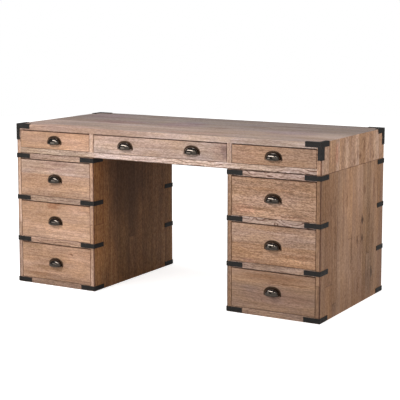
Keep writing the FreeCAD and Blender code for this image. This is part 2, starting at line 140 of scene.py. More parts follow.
# Dyes that the noises lead between, and dyes of the dark lines and spots.
NOISE_DYES = {
    "Tone": ((0.86, 0.83, 0.80), (1.12, 1.15, 1.18)),
    "Drift": ((0.99, 1.00, 1.06), (1.02, 0.99, 0.93)),
    "Streak": ((1.17, 1.19, 1.21), (0.80, 0.75, 0.70)),
    "Fibre": ((1.56, 1.61, 1.66), (0.44, 0.38, 0.33)),
}
LINE_DYES = {
    "Rings": (0.34, 0.23, 0.18),
    "Checks": (0.45, 0.34, 0.27),
    "Pores": (0.50, 0.40, 0.34),
    "Knot": (0.42, 0.30, 0.22),
    # The last dye darkens dirty joints and glue lines, and also the painted shade beside drawer gaps and the
    # painted shadow in the top case's seam.
    "Grime": (0.40, 0.30, 0.24),
}
PORE_STRENGTH = 0.28

# Inputs that the grain takes and the oak hands on to it, with their plain values.
ORIGIN = (0.0, 0.0, 0.0)
GRAIN_INPUTS = {
    "Place": ORIGIN, "Seed": 0.0, "Ring Spacing": 0.014, "Wander": 2.0, "Waves": (1.5, 9.0, 9.0), "Knots": 0.2,
}

# Lamps: place, the point they look at, width and height.
LAMPS = {
    "key": ((-1.05, -2.3, 2.0), (-0.1, -0.3, 0.5), (2.0, 0.40)),
    "fill": ((-2.2, -3.2, 0.75), (-0.1, -0.3, 0.4), (1.6, 0.7)),
    "spot": ((1.0, -3.6, 2.7), (0.0, -0.3, 0.5), (0.45, 0.35)),
    "front": ((1.6, -5.2, 2.1), (0.0, -0.3, 0.4), (8.0, 3.8)),
    "top": ((-0.2, 0.25, 3.6), (-0.1, 0.1, 0.77), (1.6, 0.8)),
    "side": ((2.1, 0.45, 1.35), (0.8, 0.2, 0.5), (0.5, 0.7)),
}
MIRRORED_SKY = 0.22
WHITE = (1.0, 1.0, 1.0, 1.0)

# Screws of the straps: distance from the corner, half the strap's height, how proud a head stands, and the
# turn from one slot to the next. Screws of a pull: distance from its middle, radius and height of a head.
STRAP_SCREWS = (0.028, 0.062)
STRAP_HALF = 0.0105
STRAP_HEAD = 0.0007
SLOT_TURN = 2.399963
PULL_SCREW = 0.0385
PULL_HEAD = (0.0026, 0.0009)

# Marks on the wood of a node: place along and across the grain and half size along and across it, in
# millimetres, and the red, green and blue that the mark leaves of the wood's colour, in percent.
# Painted light and shade on the kneehole's inner sides: lighter towards the front and low down, darker further in,
# darkest high up under the top case.
KNEEHOLE_LIGHT_AND_SHADE = (
    (380, -330, 500, 150, 175, 168, 160), (590, -80, 360, 250, 56, 53, 51), (110, -200, 140, 80, 120, 118, 116),
    (200, -20, 300, 80, 86, 85, 84),
)
MARKS = {
    "frieze_middle_drawer_front": (
        (345, 705, 30, 42, 66, 62, 66), (250, 700, 170, 90, 97, 103, 112), (-310, 668, 80, 22, 74, 74, 75),
        (-310, 738, 80, 18, 120, 120, 121), (330, 700, 70, 90, 94, 88, 85),
    ),
    "frieze_left_drawer_front": (
        (-480, 700, 160, 90, 124, 122, 122),
    ),
    "left_top_drawer_front": (
        (-570, 590, 110, 14, 72, 66, 66), (-600, 560, 180, 10, 88, 82, 82), (-720, 580, 110, 60, 82, 81, 80),
        (-570, 440, 280, 28, 76, 75, 74),
    ),
    "left_middle_drawer_front": (
        (-590, 388, 45, 22, 80, 66, 58), (-560, 275, 190, 16, 110, 110, 110), (-440, 390, 110, 40, 120, 119, 122),
        (-700, 245, 100, 30, 82, 82, 82),
    ),
    "left_bottom_drawer_front": (
        (-490, 160, 18, 10, 55, 44, 36), (-600, 85, 150, 16, 80, 76, 66), (-660, 50, 90, 12, 80, 74, 66),
        (-570, 36, 270, 20, 76, 75, 74), (-720, 186, 100, 24, 78, 77, 74), (-440, 150, 110, 55, 126, 126, 127),
    ),
    "right_top_drawer_front": (
        (408, 500, 35, 40, 114, 118, 122), (650, 445, 120, 6, 66, 56, 48), (440, 465, 75, 30, 106, 102, 106),
        (560, 555, 170, 14, 86, 78, 68), (450, 458, 100, 20, 119, 118, 120), (710, 490, 110, 70, 84, 84, 85),
    ),
    "right_middle_drawer_front": (
        (690, 275, 110, 12, 80, 72, 64), (460, 240, 40, 12, 96, 92, 102), (560, 385, 200, 12, 88, 82, 74),
        (710, 330, 110, 45, 82, 82, 84), (700, 245, 120, 24, 116, 116, 116),
    ),
    "right_bottom_drawer_front": (
        (660, 153, 130, 7, 62, 52, 44), (470, 120, 60, 20, 90, 92, 100), (610, 90, 190, 50, 98, 98, 110),
        (580, 175, 200, 16, 84, 76, 68),
    ),
    "frieze_right_drawer_front": (
        (440, 700, 100, 80, 110, 110, 113), (720, 700, 100, 80, 90, 90, 88),
    ),
    "right_pedestal_outer_side": (
        (300, -260, 500, 150, 88, 82, 74), (480, -10, 300, 110, 110, 110, 112), (530, 170, 150, 75, 110, 118, 128),
        (250, 190, 280, 110, 86, 86, 82), (250, 335, 420, 50, 84, 82, 86), (400, 277, 170, 7, 135, 140, 150),
        (378, 112, 28, 15, 26, 20, 16), (291, 110, 26, 14, 36, 28, 23), (292, 56, 36, 12, 48, 40, 34),
        (382, 196, 24, 13, 74, 66, 58), (240, -11, 125, 11, 52, 46, 40), (495, -65, 50, 8, 60, 53, 46),
        (512, 133, 32, 16, 68, 60, 56), (505, 245, 60, 11, 72, 66, 62), (278, 243, 50, 12, 74, 66, 60),
        (116, 226, 40, 14, 36, 29, 24), (112, 180, 24, 11, 72, 62, 54), (80, 66, 24, 10, 70, 61, 53),
        (470, -235, 32, 10, 70, 60, 52), (60, 50, 110, 300, 88, 85, 82), (350, -190, 200, 8, 66, 58, 50),
        (420, -105, 230, 7, 70, 62, 55), (270, 95, 180, 8, 62, 55, 48), (180, 160, 150, 7, 66, 58, 52),
        (110, -190, 140, 90, 90, 89, 88), (515, -50, 150, 90, 114, 114, 114), (110, 215, 140, 80, 86, 86, 86),
    ),
    "frieze_right_side": (
        (680, -190, 100, 80, 113, 113, 112), (700, 90, 100, 80, 90, 90, 90), (710, -180, 60, 22, 104, 84, 76),
        (700, -80, 60, 55, 106, 110, 114), (685, 45, 30, 12, 74, 66, 60), (668, 75, 22, 10, 55, 46, 40),
        (715, 118, 45, 10, 62, 54, 48), (650, 10, 16, 12, 55, 46, 40), (655, 230, 16, 12, 55, 46, 40),
        (700, 270, 70, 45, 110, 112, 110),
    ),
    "desktop": (
        (-420, -20, 200, 100, 98, 90, 99), (-90, 20, 150, 150, 100, 93, 104), (-640, 210, 160, 110, 100, 92, 102),
        (530, -60, 170, 110, 89, 85, 92), (-450, 100, 350, 100, 111, 112, 112), (120, -270, 280, 55, 106, 96, 94),
        (-350, 250, 100, 22, 80, 74, 74), (-140, 240, 80, 22, 82, 76, 72), (-40, 75, 70, 18, 72, 66, 68),
        (145, -40, 60, 20, 74, 66, 62), (290, 105, 80, 18, 78, 72, 70), (420, 170, 120, 22, 84, 76, 70),
        (-430, -45, 80, 18, 80, 72, 76), (520, 60, 200, 14, 84, 78, 76), (-180, -170, 180, 10, 82, 76, 70),
        (-500, -180, 230, 110, 80, 80, 81), (-540, -310, 260, 60, 136, 122, 116), (230, -200, 120, 10, 78, 70, 66),
    ),
    "left_pedestal_rails": (
        (-580, 417, 400, 60, 91, 91, 88), (-580, 619, 400, 60, 110, 112, 113), (-580, 10, 300, 60, 78, 77, 76),
        (-580, 215, 300, 60, 124, 124, 126),
    ),
    "right_pedestal_rails": (
        (580, 417, 400, 60, 92, 90, 89), (580, 619, 400, 60, 109, 107, 110),
    ),
    "frieze_left_partition": (
        (700, -340, 200, 200, 108, 107, 105),
    ),
    "frieze_right_partition": (
        (700, -340, 200, 200, 88, 89, 92),
    ),
    "frieze_rail": (
        (-580, 645, 260, 50, 90, 90, 82),
    ),
    "left_pedestal_inner_side": KNEEHOLE_LIGHT_AND_SHADE,
    "right_pedestal_inner_side": KNEEHOLE_LIGHT_AND_SHADE,
}


def colour_property(name, description, default):
    return FloatVectorProperty(
        name=name, description=description, subtype="COLOR", size=3, min=0, max=1, default=default)


def length_property(name, description, default):
    return FloatProperty(name=name, description=description, unit="LENGTH", min=0.0001, default=default)


def power_property(name, lamp, default):
    return FloatProperty(name=name, description=f"Power of the {lamp}", unit="POWER", default=default)


class OakFinish(bpy.types.PropertyGroup):
    """Colours and scale of the weathered oak"""

    tan: colour_property("Tan", "Warm end of the oak's colour", (0.50, 0.277, 0.150))
    grey: colour_property("Grey", "Weathered end of the oak's colour", (0.50, 0.375, 0.315))
    ring_spacing: length_property("Ring spacing", "Distance between growth rings", 0.014)
    side_board: length_property("Side board", "Width of the upright boards of the sides", 0.055)
    side_stave: length_property("Side stave", "Length of the pieces that an upright board is joined from", 1.40)
    top_board: length_property("Top board", "Width of the long boards of the desktop", 0.088)
    top_length: length_property("Top length", "Length of the stock that the desktop's boards are cut from", 40.0)
    inner_board: length_property("Inner board", "Width of the upright boards in the kneehole", 0.072)


class MetalFinish(bpy.types.PropertyGroup):
    """Colours of the metal and sizes of the cup pulls and screws"""

    black: colour_property("Black steel", "Straps and corner brackets", (0.014, 0.0122, 0.011))
    bronze: colour_property("Dark bronze", "Domes of the cup pulls", (0.061, 0.046, 0.034))
    rim_bronze: colour_property("Rim bronze", "Rims of the cup pulls", (0.075, 0.047, 0.032))
    zinc: colour_property("Zinc", "Connecting bolts", (0.48, 0.48, 0.49))
    cup_half: length_property("Cup half width", "From the middle of a cup to its end", 0.035)
    cup_height: length_property("Cup height", "From the lip's ends to the top of the cup", 0.029)
    cup_reach: length_property("Cup reach", "How far the cup stands out", 0.0215)
    cup_wall: length_property("Cup wall", "Thickness of the cup", 0.0020)
    lip_drop: length_property("Lip drop", "How far the middle of the lip hangs below its ends", 0.003)
    rim_width: length_property("Rim width", "Width of the flat rim round a cup", 0.0070)
    rim_thickness: length_property("Rim thickness", "Thickness of the flat rim", 0.0026)
    ear_radius: length_property("Ear radius", "Radius of the screw ears", 0.005)
    screw_radius: length_property("Screw radius", "Radius of the screw heads on the straps", 0.0034)


class StudioSetup(bpy.types.PropertyGroup):
    """Camera and lamps"""

    camera_place: FloatVectorProperty(
        name="Camera", description="Place of the camera", subtype="TRANSLATION", unit="LENGTH", size=3,
        default=(2.8037, -4.7874, 1.3304))
    camera_turn: FloatProperty(
        name="Turn", description="How far the camera turns to its left from looking straight back",
        subtype="ANGLE", default=math.radians(30.176))
    camera_dip: FloatProperty(
        name="Dip", description="How far the camera looks down", subtype="ANGLE", default=math.radians(7.028))
    lens: FloatProperty(name="Lens", description="Focal length on a 36 mm frame", unit="CAMERA", default=106.38)
    shift: FloatProperty(name="Rise", description="Vertical shift of the lens", default=-0.12)
    key_power: power_property("Key lamp", "wide lamp at the front left", 43.0)
    fill_power: power_property("Fill lamp", "low lamp at the front left", 8.0)
    spot_power: power_property("Spot lamp", "small lamp in front", 15.0)
    front_power: power_property("Front lamp", "large lamp behind the camera", 68.0)
    top_power: power_property("Top lamp", "lamp over the desktop", 26.0)
    side_power: power_property("Side lamp", "lamp on the right", 10.0)
    ambient: FloatProperty(name="Ambient", description="Strength of the light from all round", min=0, default=0.30)


class Wiring:
    """Adds nodes to one tree and joins them."""

    def __init__(self, tree):
        self.tree = tree

    def feed(self, socket, source):
        if isinstance(source, bpy.types.NodeSocket):
            self.tree.links.new(source, socket)
        else:
            socket.default_value = source

    def fill(self, made, inputs):
        for name, source in inputs.items():
            self.feed(made.inputs[name], source)
        return made

    def node(self, kind, inputs=None, **settings):
        made = self.tree.nodes.new(kind)
        for name, value in settings.items():
            setattr(made, name, value)
        return self.fill(made, inputs or {})

    def group(self, tree, inputs):
        return self.fill(self.node("ShaderNodeGroup", node_tree=tree), inputs)

    def value(self, kind, inputs, **settings):
        """First output of a new node."""
        return self.node(kind, inputs, **settings).outputs[0]

    def math(self, operation, *values):
        return self.value("ShaderNodeMath", dict(enumerate(values)), operation=operation)

    # The last one takes a share, a step and a start, and gives the start plus the share of the step.
    plus = functools.partialmethod(math, "ADD")
    less = functools.partialmethod(math, "SUBTRACT")
    times = functools.partialmethod(math, "MULTIPLY")
    over = functools.partialmethod(math, "DIVIDE")
    more = functools.partialmethod(math, "MULTIPLY_ADD")

    def gap(self, first, second):
        """Distance between two values."""
        return self.math("ABSOLUTE", self.less(first, second))

    def vector(self, operation, *values):
        return self.value("ShaderNodeVectorMath", dict(enumerate(values)), operation=operation)

    def scale(self, vector, factor):
        return self.value("ShaderNodeVectorMath", {0: vector, "Scale": factor}, operation="SCALE")

    def axes(self, vector):
        return self.node("ShaderNodeSeparateXYZ", {"Vector": vector}).outputs

    def here(self):
        """Place on the piece, in metres."""
        return self.node("ShaderNodeTexCoord").outputs["Object"]

    def between(self, value, low, high, to_low=0.0, to_high=1.0):
        """Smooth step of a value from one level at low to another at high."""
        return self.value(
            "ShaderNodeMapRange",
            {"Value": value, "From Min": low, "From Max": high, "To Min": to_low, "To Max": to_high},
            interpolation_type="SMOOTHSTEP")

    def noise(self, vector, detail=2.0, roughness=0.55):
        return self.value(
            "ShaderNodeTexNoise", {"Vector": vector, "Scale": 1.0, "Detail": detail, "Roughness": roughness})

    def chance(self, *numbers):
        """Random value between 0 and 1 that belongs to one or two numbers."""
        if len(numbers) == 1:
            return self.value("ShaderNodeTexWhiteNoise", {"W": numbers[0]}, noise_dimensions="1D")
        pair = self.value("ShaderNodeCombineXYZ", dict(enumerate(numbers)))
        return self.value("ShaderNodeTexWhiteNoise", {"Vector": pair}, noise_dimensions="2D")

    def bump(self, height, strength, distance):
        return self.value("ShaderNodeBump", {"Strength": strength, "Distance": distance, "Height": height})

    def blend(self, share, first, second, mode="MIX"):
        """Mix of two colours, each a socket or three numbers."""
        first, second = (
            side if isinstance(side, bpy.types.NodeSocket) else (*side[:3], 1.0) for side in (first, second))
        made = self.node("ShaderNodeMix", {0: share, 6: first, 7: second}, data_type="RGBA", blend_type=mode)
        return made.outputs[2]

    def dye(self, share, colour, dye):
        """Colour multiplied by a dye where the share is 1."""
        return self.blend(share, colour, dye, "MULTIPLY")


class Group(Wiring):
    """Shader node group with named inputs and outputs."""

    KINDS = {float: "NodeSocketFloat", 3: "NodeSocketVector", 4: "NodeSocketColor"}

    def __init__(self, name, inputs, outputs):
        super().__init__(bpy.data.node_groups.new(name, "ShaderNodeTree"))
        for label, default in inputs.items():
            kind = self.KINDS[float if isinstance(default, float) else len(default)]
            socket = self.tree.interface.new_socket(name=label, in_out="INPUT", socket_type=kind)
            socket.default_value = default
        for label, kind in outputs.items():
            self.tree.interface.new_socket(name=label, in_out="OUTPUT", socket_type=self.KINDS[kind])
        self.inlet = self.node("NodeGroupInput").outputs
        self.outlet = self.node("NodeGroupOutput").inputs

    def __getitem__(self, label):
        return self.inlet[label]

    def give(self, **results):
        for label, source in results.items():
            self.feed(self.outlet[label], source)


@functools.cache
def grain_group():
    """Oak grain round a place given as along, across and through the grain.

    Tone, drift, streak and fibre are noises drawn out along the grain, from broad to fine. A ring number grows
    with the distance across the grain, wanders with a noise and swells round sparse knots; the late wood is the
    last part of each ring.
    """
    grain = Group(
        "oak_grain", GRAIN_INPUTS,
        dict.fromkeys(("Tone", "Drift", "Streak", "Fibre", "Rings", "Checks", "Pores", "Knot"), float))
    place = grain.vector("ADD", grain["Place"], grain.scale((3.13, 1.71, 2.37), grain["Seed"]))

    def drawn_out(along, across, detail=2.0, roughness=0.55):
        return grain.noise(grain.vector("MULTIPLY", place, (along, across, across)), detail, roughness)

    cells = grain.node(
        "ShaderNodeTexVoronoi",
        {"Vector": grain.vector("MULTIPLY", place, (3.0, 11.0, 1.5)), "Scale": 1.0, "Randomness": 1.0})
    lot = grain.node("ShaderNodeSeparateColor", {"Color": cells.outputs["Color"]}).outputs[0]
    chosen = grain.math("LESS_THAN", lot, grain["Knots"])
    swell, knot = (
        grain.times(chosen, grain.between(cells.outputs["Distance"], near, far, 1.0, 0.0))
        for near, far in ((0.0, 0.5), (0.04, 0.13)))

    along, across, through = grain.axes(place)
    ring = grain.over(grain.more(through, 0.35, across), grain["Ring Spacing"])
    wander = grain.less(grain.noise(grain.vector("MULTIPLY", place, grain["Waves"]), 1.5), 0.5)
    for shift, reach in ((wander, grain["Wander"]), (drawn_out(14.0, 60.0), 1.3), (swell, 4.0)):
        ring = grain.more(shift, reach, ring)
    phase = grain.math("FRACT", ring)
    late = grain.times(grain.between(phase, 0.64, 0.90), grain.between(phase, 0.92, 1.0, 1.0, 0.0))
    patches = grain.between(drawn_out(2.4, 16.0), 0.35, 0.62, 0.35, 1.0)
    fibre = grain.times(grain.plus(drawn_out(55.0, 190.0), drawn_out(105.0, 300.0)), 0.5)
    spread = {
        label: grain.between(drawn_out(*waves), low, high) for label, (*waves, low, high) in GRAIN_NOISES.items()}
    grain.give(
        **spread, Fibre=grain.between(fibre, 0.41, 0.59), Rings=grain.times(late, patches), Knot=knot)
    return grain.tree


@functools.cache
def staves_group():
    """Boards glued side by side, each joined from staves end to end.

    Board and stave numbers are the whole parts of the distances across and along, counted in widths and
    lengths; they draw a random tone, and thin dark lines mark the joints.
    """
    staves = Group(
        "glued_staves", {"Along": 0.0, "Across": 0.0, "Width": 0.08, "Length": 0.5, "Seed": 0.0},
        {"Tone": float, "Lot": float, "Joint": float})
    count = staves.over(staves["Across"], staves["Width"])
    uneven = staves.math("SINE", staves.times(count, 2.1))
    count = staves.plus(staves.more(uneven, 0.22, count), staves["Seed"])
    board = staves.math("FLOOR", count)
    start = staves.times(staves.chance(board), 9.0)
    run = staves.plus(staves.over(staves["Along"], staves["Length"]), start)
    stave = staves.math("FLOOR", run)

    def line(position, thin):
        edge = staves.gap(staves.math("FRACT", position), 0.5)
        return staves.between(edge, 0.5 - 2 * thin, 0.5 - thin / 2)

    staves.give(
        Tone=staves.chance(board, stave), Lot=staves.chance(stave, board),
        Joint=staves.math("MAXIMUM", line(count, 0.010), line(run, 0.0015)))
    return staves.tree


@functools.cache
def border_group():
    """Nearness to the borders of a board's face: 0 inside and 1 at the border, with a smudged reach.

    Top is the same for the upper border alone.
    """
    border = Group(
        "board_border",
        {"Place": ORIGIN, "Middle": ORIGIN, "Half": (1.0, 1.0, 1.0), "Width": 0.01},
        {"Mask": float, "Top": float})
    offset = border.vector("SUBTRACT", border["Place"], border["Middle"])
    inside = border.axes(border.vector("SUBTRACT", border["Half"], border.vector("ABSOLUTE", offset)))
    smudge = border.noise(border.vector("MULTIPLY", border["Place"], (14.0, 60.0, 60.0)))
    reach = border.times(border["Width"], border.times(smudge, 2.0))

    def near(distance):
        return border.between(border.over(distance, reach), 0.0, 1.0, 1.0, 0.0)

    below_top = border.less(border.axes(border["Half"])[1], border.axes(offset)[1])
    border.give(Mask=near(border.math("MINIMUM", inside[0], inside[1])), Top=near(below_top))
    return border.tree


@functools.cache
def oak_group():
    """Colour, roughness and height of a piece of oak with two tones."""
    oak = Group(
        "weathered_oak",
        {**GRAIN_INPUTS, "First": WHITE, "Second": WHITE, "Share": 0.0, "Light": 0.5, "Streaks": 0.5,
         "Ring Lines": 0.4, "Grime": 0.0},
        {"Colour": 4, "Roughness": float, "Height": float})
    grain = oak.group(grain_group(), {label: oak[label] for label in GRAIN_INPUTS}).outputs
    bold = oak["Streaks"]

    colour = oak.blend(oak["Share"], oak["First"], oak["Second"])
    colour = oak.scale(colour, oak.between(oak["Light"], 0.0, 1.0, 0.92, 1.08))
    strength = {"Tone": 1.0, "Drift": 1.0, "Streak": oak.times(bold, 2.0), "Fibre": bold}
    for label, dyes in NOISE_DYES.items():
        colour = oak.blend(strength[label], colour, oak.blend(grain[label], *dyes), "MULTIPLY")
    share = {
        "Rings": oak.times(grain["Rings"], oak["Ring Lines"]), "Checks": oak.times(grain["Checks"], bold),
        "Pores": oak.times(grain["Pores"], PORE_STRENGTH), "Knot": grain["Knot"], "Grime": oak["Grime"]}
    for label, dye in LINE_DYES.items():
        colour = oak.dye(share[label], colour, dye)

    hollows = oak.plus(oak.times(grain["Rings"], 0.4), oak.times(grain["Pores"], 0.5))
    oak.give(
        Colour=colour,
        Roughness=oak.between(grain["Fibre"], 0.0, 1.0, 0.50, 0.66),
        Height=oak.less(oak.times(grain["Fibre"], 0.6), hollows))
    return oak.tree


@functools.cache
def patina_group():
    """Cloudy mottling of metal from a broad and a fine noise, and a share that is 1 on worn spots."""
    patina = Group("metal_patina", {"Place": ORIGIN, "Seed": 0.0}, {"Mottle": float, "Worn": float})
    place = patina.vector("ADD", patina["Place"], patina.scale((1.9, 3.1, 2.3), patina["Seed"]))
    broad = patina.noise(patina.scale(place, 38.0), 4.0, 0.6)
    fine = patina.noise(patina.scale(place, 420.0), 3.0, 0.6)
    mottle = patina.more(fine, 0.35, patina.times(broad, 0.65))
    patina.give(Mottle=patina.between(mottle, 0.3, 0.7), Worn=patina.between(broad, 0.58, 0.74))
    return patina.tree


def new_material(name):
    """Material with an empty tree; returns it with its wiring and its Principled BSDF."""
    material = bpy.data.materials.new(name)
    material.use_nodes = True
    material.node_tree.nodes.clear()
    wiring = Wiring(material.node_tree)
    shader = wiring.node("ShaderNodeBsdfPrincipled")
    wiring.node("ShaderNodeOutputMaterial", {"Surface": shader.outputs[0]})
    return material, wiring, shader


class OakBuild(Wiring):
    """Builds one oak material step by step: place, tones, borders, then the shader."""

    def __init__(self, name, finish, axes, seed, **values):
        self.material, wiring, self.shader = new_material(name)
        super().__init__(wiring.tree)
        self.finish = finish
        self.order = ["XYZ".index(axis) for axis in axes]
        here = self.axes(self.here())
        self.place = self.value(
            "ShaderNodeCombineXYZ", {slot: here[axis] for slot, axis in enumerate(self.order)})
        self.along, self.across, self.through = self.axes(self.place)
        self.seed = seed
        self.inputs = {"Place": self.place, "Seed": seed, "Ring Spacing": finish.ring_spacing}
        self.inputs.update({label.replace("_", " ").title(): value for label, value in values.items()})
        self.grime_and_shade = 0.0

    def tones(self, first, second, share=0.0):
        """Two tones, each a warmth between grey and tan and a brightness, and the share of the second."""
        self.inputs.update({"First": self.tone(first), "Second": self.tone(second), "Share": share})
        return self

    def tone(self, tone):
        """Colour of a tone given as warmth and brightness."""
        warmth, brightness = tone
        mixed = (1 - warmth) * np.array(self.finish.grey) + warmth * np.array(self.finish.tan)
        return (*(brightness * mixed), 1.0)

    def staves(self, first, second, width, length):
        """Two tones dealt out at random to glued staves."""
        made = self.group(staves_group(), {
            "Along": self.along, "Across": self.across, "Width": width, "Length": length, "Seed": self.seed})
        self.tones(first, second, made.outputs["Tone"])
        self.inputs["Light"] = made.outputs["Lot"]
        self.inputs["Seed"] = self.more(made.outputs["Lot"], 11.0, self.seed)
        self.grime_and_shade = self.times(made.outputs["Joint"], 0.45)
        return self

    def two_boards(self, upper, lower, joint):
        """An upper and a lower board with a thin glue line between them."""
        self.tones(upper, lower, self.between(self.across, joint + 0.001, joint - 0.001))
        self.grime_and_shade = self.between(self.gap(self.across, joint), 0.0, 0.0012, 0.35, 0.0)
        return self

    def borders(self, low, high, width, strength, top):
        """Darker borders of a face between two corners, partly grime and partly painted shade beside the gaps, and
        a darker upper border of painted shade under the gap above.
        """
        low, high = (np.array(corner)[self.order] for corner in (low, high))
        made = self.group(border_group(), {
            "Place": self.place, "Middle": (low + high) / 2, "Half": (high - low) / 2, "Width": width})
        self.darken(self.times(made.outputs["Mask"], strength))
        return self.darken(self.times(made.outputs["Top"], top))

    def darken(self, mask):
        """Adds a mask to the grime and painted shade: dirty joints and glue lines, and painted shade in gaps and
        seams.
        """
        self.grime_and_shade = self.math("MAXIMUM", self.grime_and_shade, mask)
        return self

    def tint(self, mask, dye):
        """Multiplies both tones by a colour where the mask is 1: a dye for stains and marks, painted light and
        shade in the kneehole and the seams.
        """
        for label in ("First", "Second"):
            self.inputs[label] = self.dye(mask, self.inputs[label], dye)
        return self

    def edge(self, tone, level, inward=1.0):
        """Gives the front or rear edge, within 1.5 mm of the given depth, a tone of its own; returns its mask."""
        depth = self.across if self.order[1] == 1 else self.through
        mask = self.between(depth, level + 0.001 * inward, level + 0.002 * inward, 1.0, 0.0)
        for label in ("First", "Second"):
            self.inputs[label] = self.blend(mask, self.inputs[label], self.tone(tone))
        return mask

    def marks(self, node):
        """Soft ragged marks of the table that belong to a node; on the kneehole's inner sides they are painted
        light and shade.
        """
        if node not in MARKS:
            return self
        waves = self.vector("MULTIPLY", self.place, (30.0, 75.0, 75.0))
        warp = self.less(self.noise(waves, 3.0, 0.65), 0.5)
        there = [self.more(warp, reach, here)
                 for here, reach in ((self.along, 0.060), (self.across, 0.028))]
        for row in MARKS[node]:
            lengths = [value / 1000 for value in row[:4]]
            far = [self.math("POWER", self.over(self.less(here, middle), half), 2.0)
                   for here, middle, half in zip(there, lengths[:2], lengths[2:])]
            dye = [value / 100 for value in row[4:]]
            self.tint(self.between(self.plus(*far), 0.1, 1.0, 1.0, 0.0), dye)
        return self

    def line(self, here, level, half, strength):
        """Wavering dark line where a coordinate is near a level."""
        wave = self.noise(self.scale(self.place, 40.0))
        reach = self.over(self.gap(here, level), self.times(wave, 2 * half))
        return self.between(reach, 0.5, 1.0, strength, 0.0)

    def finished(self):
        """Joins everything to the shader and returns the material."""
        self.inputs["Grime"] = self.grime_and_shade
        oak = self.group(oak_group(), self.inputs)
        self.fill(self.shader, {
            "Base Color": oak.outputs["Colour"], "Roughness": oak.outputs["Roughness"],
            "Normal": self.bump(oak.outputs["Height"], strength=0.35, distance=0.0006), "Specular IOR Level": 0.4})
        return self.material


def metal_material(name, colour, seed, rough, lift, metallic=1.0, specular=0.5, coat=0.0):
    """Metal mottled by its patina, bare or lacquered; the worn spots are lighter by the factor lift."""
    material, wiring, shader = new_material(name)
    patina = wiring.group(patina_group(), {"Place": wiring.here(), "Seed": seed}).outputs
    plain = np.array(colour)
    mottled = wiring.blend(patina["Mottle"], 0.8 * plain, 1.2 * plain)
    wiring.fill(shader, {
        "Base Color": wiring.blend(patina["Worn"], mottled, np.minimum(lift * plain, 1.0)),
        "Roughness": wiring.between(patina["Mottle"], 0.0, 1.0, *rough),
        "Normal": wiring.bump(patina["Mottle"], strength=0.10, distance=0.0003),
        "Metallic": metallic, "Specular IOR Level": specular, "Coat Weight": coat, "Coat Roughness": 0.10})
    return material


def dress(node, material):
    """Puts a material on every slot of a CAD node."""
    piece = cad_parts[node]
    if not piece.material_slots:
        piece.data.materials.append(material)
    for slot in piece.material_slots:
        slot.material = material


def grid_quads(rows, columns, closed):
    """Corner numbers of the quads of a grid of points, closed round its columns or not."""
    number = np.arange(rows * columns).reshape(rows, columns)
    after = np.roll(number, -1, axis=1)
    if not closed:
        number, after = number[:, :-1], number[:, 1:]
    return np.stack([number[:-1], number[1:], after[1:], after[:-1]], -1).reshape(-1, 4)


def new_object(name, data):
    """Object in the scene that holds a mesh, lamp or camera."""
    made = bpy.data.objects.new(name, data)
    bpy.context.scene.collection.objects.link(made)
    return made


def new_piece(name, surfaces, body):
    """Mesh object from grids of points, each with its closedness and material; ends and poles are merged."""
    points, quads, marks, materials = [], [], [], []
    start = 0
    for grid, closed, material in surfaces:
        rows, columns = grid.shape[:2]
        points.append(grid.reshape(-1, 3))
        quads.append(grid_quads(rows, columns, closed) + start)
        if material not in materials:
            materials.append(material)
        marks.append(np.full(len(quads[-1]), materials.index(material)))
        start += rows * columns
    mesh = bpy.data.meshes.new(name)
    mesh.from_pydata(np.concatenate(points).tolist(), [], np.concatenate(quads).tolist())
    for material in materials:
        mesh.materials.append(material)
    mesh.polygons.foreach_set("material_index", np.concatenate(marks))
    mesh.polygons.foreach_set("use_smooth", np.ones(len(mesh.polygons), dtype=bool))
    shell = bmesh.new()
    shell.from_mesh(mesh)
    bmesh.ops.remove_doubles(shell, verts=shell.verts, dist=1e-6)
    bmesh.ops.dissolve_degenerate(shell, edges=shell.edges, dist=1e-7)
    bmesh.ops.recalc_face_normals(shell, faces=shell.faces)
    shell.to_mesh(mesh)
    shell.free()
    piece = new_object(name, mesh)
    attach(piece, body)
    return piece


UP = np.array([0.0, 0.0, 1.0])


def unit(vectors):
    """Vectors of a row each, brought to length 1."""
    return vectors / np.linalg.norm(vectors, axis=1, keepdims=True)


def around(count):
    """Angles of a number of steps round a circle."""
    return np.linspace(0.0, 2 * np.pi, count, endpoint=False)


def squarish(angle, power):
    """Both coordinates of a superellipse |x|^power + |y|^power = 1 at an angle."""
    return tuple(np.sign(part) * np.abs(part) ** (2 / power) for part in (np.cos(angle), np.sin(angle)))


def screw_heads(places, facings, radius, height, turns):
    """Slotted screw heads in whole arrays, one grid of rings and spokes for each place.

    At a share s of the radius and an angle a, the head stands height * sqrt(1 - 0.85 s^2) proud, less a
    slot that dips by 0.6 of the height where |s sin a| is small; the last ring lies on the ground. Facings are
    the level directions that the heads look in; the slots are turned by the given angles.
    """
    share = np.array([0.0, 0.35, 0.7, 0.92, 1.0, 1.0])
    lift = np.array([1.0, 1.0, 1.0, 1.0, 1.0, 0.0])
    s, a = np.meshgrid(share, around(12), indexing="ij")
    slot = 1 / (1 + (np.abs(s * np.sin(a)) / 0.22) ** 6)
    proud = height * (np.sqrt(1 - 0.85 * s ** 2) - 0.6 * slot * (s < 0.95)) * lift[:, None]
    aim = a[None] + np.asarray(turns)[:, None, None]
    side, rise = radius * s * np.cos(aim), radius * s * np.sin(aim)
    out = np.asarray(facings, float)
    up = np.broadcast_to(UP, out.shape)
    looks = np.stack([np.cross(up, out), up, out], 1)
    local = np.stack([side, rise, np.broadcast_to(proud, side.shape)], -1)
    return np.einsum("nrak,nkj->nraj", local, looks) + np.asarray(places)[:, None, None, :]


